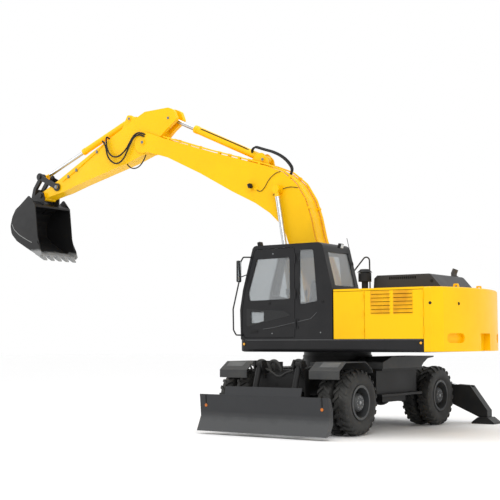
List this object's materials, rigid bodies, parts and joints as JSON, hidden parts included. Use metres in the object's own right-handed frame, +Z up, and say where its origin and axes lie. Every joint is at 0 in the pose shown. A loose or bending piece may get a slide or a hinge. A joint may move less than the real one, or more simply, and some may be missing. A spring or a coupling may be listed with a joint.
{
  "type": "wheeled excavator",
  "caption": "Wheeled hydraulic excavator with a raised digging arm, enclosed cab, dozer blade, twin tyres and folding outriggers, standing parked.",
  "frame": {"origin": "on the ground, below the middle of the whole machine's bounding box as it is parked", "axes": "+X along the boom towards the bucket, +Y to the cab's side, +Z up"},
  "size_m": [10.4991, 4.935, 6.1235],
  "materials": {
    "yellow_paint": "semi-gloss paint over steel plate",
    "charcoal_paint": "satin paint over steel plate",
    "frame_paint": "satin paint over welded steel",
    "blade_paint": "worn satin paint on steel",
    "rim_paint": "grey paint on pressed steel",
    "counterweight_paint": "semi-gloss paint over a casting",
    "tyre_rubber": "matte rubber",
    "bright_rod": "hard chrome plating",
    "engine_iron": "painted iron block",
    "window_glass": "tinted safety glass",
    "seat_cover": "woven seat cover"
  },
  "bodies": {
    "undercarriage": {"chassis_frame": "frame_paint", "slew_ring": "frame_paint", "front_axle": "frame_paint", "rear_axle": "frame_paint", "drive_shafts": "frame_paint", "fenders": "frame_paint", "side_steps": "frame_paint"},
    "left_knuckle": {"left_knuckle": "frame_paint"},
    "right_knuckle": {"right_knuckle": "frame_paint"},
    "front_left_wheel": {"front_left_tyres": "tyre_rubber", "front_left_rims": "rim_paint"},
    "front_right_wheel": {"front_right_tyres": "tyre_rubber", "front_right_rims": "rim_paint"},
    "rear_left_wheel": {"rear_left_tyres": "tyre_rubber", "rear_left_rims": "rim_paint"},
    "rear_right_wheel": {"rear_right_tyres": "tyre_rubber", "rear_right_rims": "rim_paint"},
    "blade": {"blade": "blade_paint"},
    "blade_barrels": {"blade_cylinder_barrels": "frame_paint"},
    "blade_rods": {"blade_cylinder_rods": "bright_rod"},
    "left_outrigger": {"left_outrigger_leg": "frame_paint"},
    "left_outrigger_barrel": {"left_outrigger_cylinder_barrel": "frame_paint"},
    "left_outrigger_rod": {"left_outrigger_cylinder_rod": "bright_rod"},
    "right_outrigger": {"right_outrigger_leg": "frame_paint"},
    "right_outrigger_barrel": {"right_outrigger_cylinder_barrel": "frame_paint"},
    "right_outrigger_rod": {"right_outrigger_cylinder_rod": "bright_rod"},
    "upper": {"swing_frame": "frame_paint", "counterweight": "counterweight_paint", "cab_shell": "charcoal_paint", "cab_glass": "window_glass", "cab_seat": "seat_cover", "tanks": "yellow_paint", "engine_deck": "yellow_paint", "engine": "engine_iron", "pre_cleaner": "charcoal_paint", "handrails": "charcoal_paint"},
    "cab_door": {"cab_door": "charcoal_paint", "door_glass": "window_glass"},
    "left_front_door": {"left_front_door": "yellow_paint"},
    "left_rear_door": {"left_rear_door": "yellow_paint"},
    "right_rear_door": {"right_rear_door": "yellow_paint"},
    "hood": {"hood": "charcoal_paint", "exhaust_pipe": "charcoal_paint"},
    "boom": {"boom": "yellow_paint", "boom_pipes": "yellow_paint"},
    "boom_barrels": {"boom_cylinder_barrels": "yellow_paint"},
    "boom_rods": {"boom_cylinder_rods": "bright_rod"},
    "arm": {"arm": "yellow_paint"},
    "arm_barrel": {"arm_cylinder_barrel": "yellow_paint"},
    "arm_rod": {"arm_cylinder_rod": "bright_rod"},
    "rocker": {"rocker": "charcoal_paint"},
    "link": {"link": "charcoal_paint"},
    "bucket": {"bucket": "charcoal_paint"},
    "bucket_barrel": {"bucket_cylinder_barrel": "yellow_paint"},
    "bucket_rod": {"bucket_cylinder_rod": "bright_rod"}
  },
  "joints": [
    {"name": "swing", "type": "hinge", "parent": "undercarriage", "child": "upper", "pos_m": [-2.495, 0.049, 1.262], "axis": [0, 0, 1], "continuous": true},
    {"name": "left_steering", "type": "hinge", "parent": "undercarriage", "child": "left_knuckle", "pos_m": [-3.20934, 1.36973, 0.5275], "axis": [0, 0, 1], "range_deg": [-28, 28]},
    {"name": "front_left_wheel_spin", "type": "hinge", "parent": "left_knuckle", "child": "front_left_wheel", "pos_m": [-3.42121, 1.37713, 0.5275], "axis": [-0.9994, 0.0349, 0], "continuous": true},
    {"name": "rear_left_wheel_spin", "type": "hinge", "parent": "undercarriage", "child": "rear_left_wheel", "pos_m": [-3.51893, -1.42116, 0.5275], "axis": [-0.9994, 0.0349, 0], "continuous": true},
    {"name": "right_steering", "type": "hinge", "parent": "undercarriage", "child": "right_knuckle", "pos_m": [-1.69027, 1.31669, 0.5275], "axis": [0, 0, 1], "range_deg": [-28, 28]},
    {"name": "front_right_wheel_spin", "type": "hinge", "parent": "right_knuckle", "child": "front_right_wheel", "pos_m": [-1.4784, 1.30929, 0.5275], "axis": [-0.9994, 0.0349, 0], "continuous": true},
    {"name": "rear_right_wheel_spin", "type": "hinge", "parent": "undercarriage", "child": "rear_right_wheel", "pos_m": [-1.57612, -1.48901, 0.5275], "axis": [-0.9994, 0.0349, 0], "continuous": true},
    {"name": "blade_lift", "type": "hinge", "parent": "undercarriage", "child": "blade", "pos_m": [-2.43742, 1.69799, 0.56], "axis": [0.9994, -0.0349, 0], "range_deg": [-9, 28]},
    {"name": "blade_barrel_tilt", "type": "hinge", "parent": "undercarriage", "child": "blade_barrels", "pos_m": [-2.43218, 1.8479, 1.13], "axis": [0.9994, -0.0349, 0], "range_deg": [-3.77, 9.61]},
    {"name": "blade_rod_slide", "type": "slide", "parent": "blade_barrels", "child": "blade_rods", "axis": [0.0108, 0.308, -0.9513], "range_m": [-0.1779, 0.064]},
    {"name": "left_outrigger_fold", "type": "hinge", "parent": "undercarriage", "child": "left_outrigger", "pos_m": [-3.17455, -2.21867, 0.5], "axis": [0.0349, 0.9994, 0], "range_deg": [0, 45]},
    {"name": "left_outrigger_barrel_tilt", "type": "hinge", "parent": "undercarriage", "child": "left_outrigger_barrel", "pos_m": [-3.04463, -2.2232, 0.93], "axis": [0.0349, 0.9994, 0], "range_deg": [-1, 36.95]},
    {"name": "left_outrigger_rod_slide", "type": "slide", "parent": "left_outrigger_barrel", "child": "left_outrigger_rod", "axis": [-0.9362, 0.0327, -0.35], "range_m": [-0.3308, 0.01]},
    {"name": "right_outrigger_fold", "type": "hinge", "parent": "undercarriage", "child": "right_outrigger", "pos_m": [-1.97528, -2.26055, 0.5], "axis": [-0.0349, -0.9994, 0], "range_deg": [0, 45]},
    {"name": "right_outrigger_barrel_tilt", "type": "hinge", "parent": "undercarriage", "child": "right_outrigger_barrel", "pos_m": [-2.10521, -2.25601, 0.93], "axis": [-0.0349, -0.9994, 0], "range_deg": [-1, 36.95]},
    {"name": "right_outrigger_rod_slide", "type": "slide", "parent": "right_outrigger_barrel", "child": "right_outrigger_rod", "axis": [0.9362, -0.0327, -0.35], "range_m": [-0.3308, 0.01]},
    {"name": "boom_lift", "type": "hinge", "parent": "upper", "child": "boom", "pos_m": [-2.495, -0.001, 1.9], "axis": [0, -1, 0], "range_deg": [-79.5, 20.5]},
    {"name": "boom_barrel_tilt", "type": "hinge", "parent": "upper", "child": "boom_barrels", "pos_m": [-1.855, -0.001, 1.44], "axis": [0, -1, 0], "range_deg": [-81.97, 21.88]},
    {"name": "boom_rod_slide", "type": "slide", "parent": "boom_barrels", "child": "boom_rods", "axis": [0.1652, 0, 0.9863], "range_m": [-0.9702, 0.2576]},
    {"name": "arm_crowd", "type": "hinge", "parent": "boom", "child": "arm", "pos_m": [1.85311, -0.001, 5.4843], "axis": [0, 1, 0], "range_deg": [-25, 92]},
    {"name": "arm_barrel_tilt", "type": "hinge", "parent": "boom", "child": "arm_barrel", "pos_m": [-0.97981, -0.001, 4.87266], "axis": [0, 1, 0], "range_deg": [-1.47, 2.72]},
    {"name": "arm_rod_slide", "type": "slide", "parent": "arm_barrel", "child": "arm_rod", "axis": [0.9056, 0, 0.4242], "range_m": [-0.2754, 0.9868]},
    {"name": "bucket_curl", "type": "hinge", "parent": "arm", "child": "bucket", "pos_m": [4.65398, -0.001, 4.61728], "axis": [0, 1, 0], "range_deg": [-110, 55]},
    {"name": "rocker_turn", "type": "hinge", "parent": "arm", "child": "rocker", "pos_m": [4.23334, -0.001, 4.77681], "axis": [0, 1, 0], "range_deg": [-62.6, 31.8]},
    {"name": "link_turn", "type": "hinge", "parent": "bucket", "child": "link", "pos_m": [5.00898, -0.001, 4.49228], "axis": [0, 1, 0], "range_deg": [-32.35, 63.7]},
    {"name": "bucket_barrel_tilt", "type": "hinge", "parent": "arm", "child": "bucket_barrel", "pos_m": [2.29678, -0.001, 6.03158], "axis": [0, 1, 0], "range_deg": [-2.29, 1.64]},
    {"name": "bucket_rod_slide", "type": "slide", "parent": "bucket_barrel", "child": "bucket_rod", "axis": [0.9269, 0, -0.3752], "range_m": [-0.5284, 0.2692]},
    {"name": "cab_door_hinge", "type": "hinge", "parent": "upper", "child": "cab_door", "pos_m": [-2.409, 1.304, 1.565], "axis": [0, 0, 1], "range_deg": [0, 170]},
    {"name": "left_front_door_hinge", "type": "hinge", "parent": "upper", "child": "left_front_door", "pos_m": [-3.691, 1.299, 1.6], "axis": [0, 0, 1], "range_deg": [0, 100]},
    {"name": "left_rear_door_hinge", "type": "hinge", "parent": "upper", "child": "left_rear_door", "pos_m": [-4.736, 1.299, 1.6], "axis": [0, 0, 1], "range_deg": [0, 100]},
    {"name": "right_rear_door_hinge", "type": "hinge", "parent": "upper", "child": "right_rear_door", "pos_m": [-4.736, -1.201, 1.6], "axis": [0, 0, -1], "range_deg": [0, 100]},
    {"name": "hood_hinge", "type": "hinge", "parent": "upper", "child": "hood", "pos_m": [-3.995, -0.583, 2.357], "axis": [1, 0, 0], "range_deg": [0, 60]}
  ],
  "couplings": [
    {"joint": "right_steering", "follows": "left_steering", "ratio": 1},
    {"joint": "blade_barrel_tilt", "follows": "blade_lift", "ratio": 0.3075},
    {"joint": "blade_rod_slide", "follows": "blade_lift", "m_per_rad": -0.34355},
    {"joint": "left_outrigger_barrel_tilt", "follows": "left_outrigger_fold", "ratio": 0.799},
    {"joint": "left_outrigger_rod_slide", "follows": "left_outrigger_fold", "m_per_rad": -0.40845},
    {"joint": "right_outrigger_barrel_tilt", "follows": "right_outrigger_fold", "ratio": 0.799},
    {"joint": "right_outrigger_rod_slide", "follows": "right_outrigger_fold", "m_per_rad": -0.40845},
    {"joint": "boom_barrel_tilt", "follows": "boom_lift", "ratio": 1.0185},
    {"joint": "boom_rod_slide", "follows": "boom_lift", "m_per_rad": 0.69205},
    {"joint": "arm_barrel_tilt", "follows": "arm_crowd", "ratio": 0.0187},
    {"joint": "arm_rod_slide", "follows": "arm_crowd", "m_per_rad": 0.60836},
    {"joint": "rocker_turn", "follows": "bucket_curl", "ratio": 0.56},
    {"joint": "link_turn", "follows": "bucket_curl", "ratio": -0.57},
    {"joint": "bucket_barrel_tilt", "follows": "bucket_curl", "ratio": 0.0117},
    {"joint": "bucket_rod_slide", "follows": "bucket_curl", "m_per_rad": 0.27}
  ]
}
